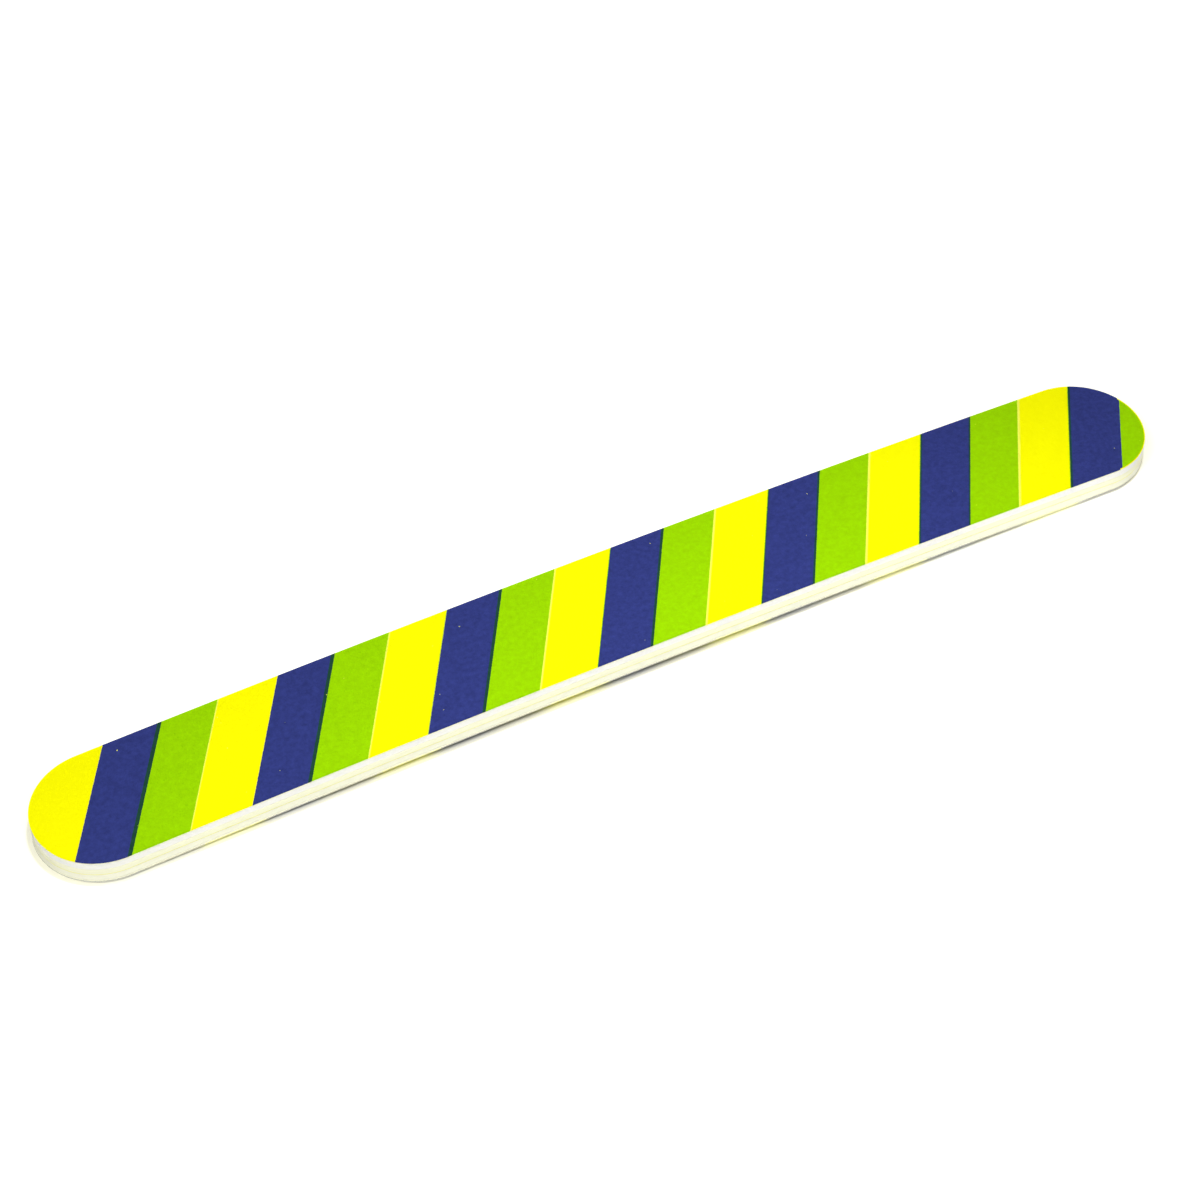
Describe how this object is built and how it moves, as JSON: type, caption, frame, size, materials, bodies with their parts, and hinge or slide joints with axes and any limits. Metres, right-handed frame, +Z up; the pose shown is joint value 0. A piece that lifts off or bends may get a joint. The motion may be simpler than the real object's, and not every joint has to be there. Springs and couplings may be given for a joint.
{
  "type": "nail file",
  "caption": "Slim flat nail file with round ends and a slight bow: a plastic core between foam pads, faced with slant-striped abrasive sheets.",
  "frame": {"origin": "under the middle of the file, level with the underside of its two tips, on which it stands", "axes": "+X along the file towards one tip, +Y across its width, +Z up out of the upper abrasive sheet; the file is bowed upwards in the middle"},
  "size_m": [0.178, 0.02, 0.0056],
  "materials": {
    "printed_grit": "matte",
    "adhesive": "satin",
    "foam": "matte",
    "core_plastic": "satin"
  },
  "bodies": {
    "root": {"lower_abrasive_sheet": "printed_grit", "lower_sheet_adhesive": "adhesive", "lower_foam_pad": "foam", "lower_core_adhesive": "adhesive", "plastic_core": "core_plastic", "upper_core_adhesive": "adhesive", "upper_foam_pad": "foam", "upper_sheet_adhesive": "adhesive", "upper_abrasive_sheet": "printed_grit"}
  },
  "joints": []
}
